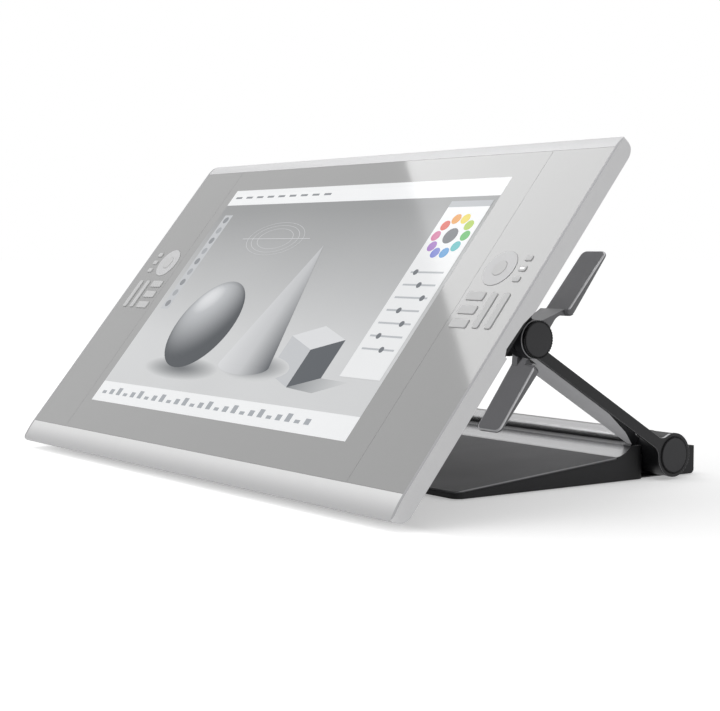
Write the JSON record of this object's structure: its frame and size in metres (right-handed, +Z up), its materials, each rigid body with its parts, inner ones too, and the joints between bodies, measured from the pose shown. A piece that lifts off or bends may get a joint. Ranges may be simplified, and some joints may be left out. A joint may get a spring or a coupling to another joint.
{
  "type": "pen drawing tablet on a counterbalanced stand",
  "caption": "Wide pen display with key panels beside the screen, grip levers behind it and two arms that lift and tilt it over a heavy wedge base.",
  "frame": {"origin": "on the desk, under the middle of the whole object in its resting pose", "axes": "+X runs across the screen to the right-hand keys, +Y runs from the front chin to the barrel at the back, +Z is up"},
  "size_m": [0.75, 0.5002, 0.3513],
  "materials": {
    "cover_glass": "gloss, printed grey border behind the glass",
    "key_panel_gloss": "gloss, flush with the glass",
    "pale_moulding": "fine satin",
    "frame_alloy": "cast, plain",
    "lcd_glass": "polariser film, matt",
    "light_guide": "white diffuser",
    "circuit_board": "solder mask",
    "dark_moulding": "fine texture",
    "socket_black": "matt",
    "key_grey": "satin",
    "ring_grey": "satin gloss",
    "bracket_steel": "black powder coat",
    "pin_steel": "ground",
    "screw_steel": "blackened",
    "lever_alloy": "dark anodised, satin",
    "arm_alloy": "satin anodised casting",
    "arm_cover_dark": "satin",
    "base_steel": "zinc plated and painted",
    "base_dark": "fine satin",
    "pad_paint": "matt powder coat",
    "polished_alloy": "polished",
    "bush_brass": "turned",
    "spring_steel": "oiled",
    "bar_paint": "satin black",
    "foot_rubber": "matt"
  },
  "bodies": {
    "base": {"base_sheet": "base_steel", "base_shell": "base_dark", "base_pad": "pad_paint", "sweep_block": "polished_alloy", "torsion_barrel": "polished_alloy", "barrel_bushes": "bush_brass", "torsion_springs": "spring_steel", "rear_bar": "bar_paint", "base_feet": "foot_rubber"},
    "arms": {"left_arm": "arm_alloy", "right_arm": "arm_alloy", "left_arm_cover": "arm_cover_dark", "right_arm_cover": "arm_cover_dark", "hub_caps": "arm_cover_dark", "torsion_shaft": "pin_steel"},
    "display": {"front_glass": "cover_glass", "left_key_panel": "key_panel_gloss", "right_key_panel": "key_panel_gloss", "top_trim": "pale_moulding", "bottom_chin": "pale_moulding", "left_end_cap": "pale_moulding", "right_end_cap": "pale_moulding", "mid_frame": "frame_alloy", "lcd_panel": "lcd_glass", "backlight": "light_guide", "digitizer_board": "circuit_board", "main_board": "circuit_board", "power_board": "circuit_board", "rear_cover": "dark_moulding", "socket_panel": "socket_black", "left_switch_board": "circuit_board", "right_switch_board": "circuit_board", "left_touch_ring": "ring_grey", "right_touch_ring": "ring_grey", "left_hinge_bracket": "bracket_steel", "right_hinge_bracket": "bracket_steel", "tilt_pins": "pin_steel", "casing_screws": "screw_steel"},
    "left_upper_lever_body": {"left_upper_lever": "lever_alloy"},
    "left_lower_lever_body": {"left_lower_lever": "lever_alloy"},
    "right_upper_lever_body": {"right_upper_lever": "lever_alloy"},
    "right_lower_lever_body": {"right_lower_lever": "lever_alloy"},
    "left_toggle_upper_body": {"left_toggle_upper": "key_grey"},
    "left_toggle_middle_body": {"left_toggle_middle": "key_grey"},
    "left_toggle_lower_body": {"left_toggle_lower": "key_grey"},
    "left_long_key_outer_body": {"left_long_key_outer": "key_grey"},
    "left_long_key_inner_body": {"left_long_key_inner": "key_grey"},
    "left_short_key_upper_body": {"left_short_key_upper": "key_grey"},
    "left_short_key_middle_body": {"left_short_key_middle": "key_grey"},
    "left_short_key_lower_body": {"left_short_key_lower": "key_grey"},
    "left_ring_button_body": {"left_ring_button": "key_grey"},
    "right_toggle_upper_body": {"right_toggle_upper": "key_grey"},
    "right_toggle_middle_body": {"right_toggle_middle": "key_grey"},
    "right_toggle_lower_body": {"right_toggle_lower": "key_grey"},
    "right_long_key_outer_body": {"right_long_key_outer": "key_grey"},
    "right_long_key_inner_body": {"right_long_key_inner": "key_grey"},
    "right_short_key_upper_body": {"right_short_key_upper": "key_grey"},
    "right_short_key_middle_body": {"right_short_key_middle": "key_grey"},
    "right_short_key_lower_body": {"right_short_key_lower": "key_grey"},
    "right_ring_button_body": {"right_ring_button": "key_grey"}
  },
  "joints": [
    {"name": "arm_lift", "type": "hinge", "parent": "base", "child": "arms", "pos_m": [0, 0.1993, 0.0263], "axis": [1, 0, 0], "range_deg": [-40, 0]},
    {"name": "display_tilt", "type": "hinge", "parent": "arms", "child": "display", "pos_m": [0, 0.00294, 0.15546], "axis": [1, 0, 0], "range_deg": [-45, 2]},
    {"name": "left_upper_squeeze", "type": "hinge", "parent": "display", "child": "left_upper_lever_body", "pos_m": [0, 0.00294, 0.15546], "axis": [1, 0, 0], "range_deg": [0, 12], "stiffness_Nm_per_rad": 1.2},
    {"name": "left_lower_squeeze", "type": "hinge", "parent": "display", "child": "left_lower_lever_body", "pos_m": [0, 0.00294, 0.15546], "axis": [1, 0, 0], "range_deg": [-12, 0], "stiffness_Nm_per_rad": 1.2},
    {"name": "right_upper_squeeze", "type": "hinge", "parent": "display", "child": "right_upper_lever_body", "pos_m": [0, 0.00294, 0.15546], "axis": [1, 0, 0], "range_deg": [0, 12], "stiffness_Nm_per_rad": 1.2},
    {"name": "right_lower_squeeze", "type": "hinge", "parent": "display", "child": "right_lower_lever_body", "pos_m": [0, 0.00294, 0.15546], "axis": [1, 0, 0], "range_deg": [-12, 0], "stiffness_Nm_per_rad": 1.2},
    {"name": "left_toggle_upper_press", "type": "slide", "parent": "display", "child": "left_toggle_upper_body", "axis": [0, 0.776, -0.6307], "range_m": [0, 0.0008], "stiffness_N_per_m": 150},
    {"name": "left_toggle_middle_press", "type": "slide", "parent": "display", "child": "left_toggle_middle_body", "axis": [0, 0.776, -0.6307], "range_m": [0, 0.0008], "stiffness_N_per_m": 150},
    {"name": "left_toggle_lower_press", "type": "slide", "parent": "display", "child": "left_toggle_lower_body", "axis": [0, 0.776, -0.6307], "range_m": [0, 0.0008], "stiffness_N_per_m": 150},
    {"name": "left_long_key_outer_press", "type": "slide", "parent": "display", "child": "left_long_key_outer_body", "axis": [0, 0.776, -0.6307], "range_m": [0, 0.0008], "stiffness_N_per_m": 150},
    {"name": "left_long_key_inner_press", "type": "slide", "parent": "display", "child": "left_long_key_inner_body", "axis": [0, 0.776, -0.6307], "range_m": [0, 0.0008], "stiffness_N_per_m": 150},
    {"name": "left_short_key_upper_press", "type": "slide", "parent": "display", "child": "left_short_key_upper_body", "axis": [0, 0.776, -0.6307], "range_m": [0, 0.0008], "stiffness_N_per_m": 150},
    {"name": "left_short_key_middle_press", "type": "slide", "parent": "display", "child": "left_short_key_middle_body", "axis": [0, 0.776, -0.6307], "range_m": [0, 0.0008], "stiffness_N_per_m": 150},
    {"name": "left_short_key_lower_press", "type": "slide", "parent": "display", "child": "left_short_key_lower_body", "axis": [0, 0.776, -0.6307], "range_m": [0, 0.0008], "stiffness_N_per_m": 150},
    {"name": "left_ring_button_press", "type": "slide", "parent": "display", "child": "left_ring_button_body", "axis": [0, 0.776, -0.6307], "range_m": [0, 0.0008], "stiffness_N_per_m": 150},
    {"name": "right_toggle_upper_press", "type": "slide", "parent": "display", "child": "right_toggle_upper_body", "axis": [0, 0.776, -0.6307], "range_m": [0, 0.0008], "stiffness_N_per_m": 150},
    {"name": "right_toggle_middle_press", "type": "slide", "parent": "display", "child": "right_toggle_middle_body", "axis": [0, 0.776, -0.6307], "range_m": [0, 0.0008], "stiffness_N_per_m": 150},
    {"name": "right_toggle_lower_press", "type": "slide", "parent": "display", "child": "right_toggle_lower_body", "axis": [0, 0.776, -0.6307], "range_m": [0, 0.0008], "stiffness_N_per_m": 150},
    {"name": "right_long_key_outer_press", "type": "slide", "parent": "display", "child": "right_long_key_outer_body", "axis": [0, 0.776, -0.6307], "range_m": [0, 0.0008], "stiffness_N_per_m": 150},
    {"name": "right_long_key_inner_press", "type": "slide", "parent": "display", "child": "right_long_key_inner_body", "axis": [0, 0.776, -0.6307], "range_m": [0, 0.0008], "stiffness_N_per_m": 150},
    {"name": "right_short_key_upper_press", "type": "slide", "parent": "display", "child": "right_short_key_upper_body", "axis": [0, 0.776, -0.6307], "range_m": [0, 0.0008], "stiffness_N_per_m": 150},
    {"name": "right_short_key_middle_press", "type": "slide", "parent": "display", "child": "right_short_key_middle_body", "axis": [0, 0.776, -0.6307], "range_m": [0, 0.0008], "stiffness_N_per_m": 150},
    {"name": "right_short_key_lower_press", "type": "slide", "parent": "display", "child": "right_short_key_lower_body", "axis": [0, 0.776, -0.6307], "range_m": [0, 0.0008], "stiffness_N_per_m": 150},
    {"name": "right_ring_button_press", "type": "slide", "parent": "display", "child": "right_ring_button_body", "axis": [0, 0.776, -0.6307], "range_m": [0, 0.0008], "stiffness_N_per_m": 150}
  ]
}
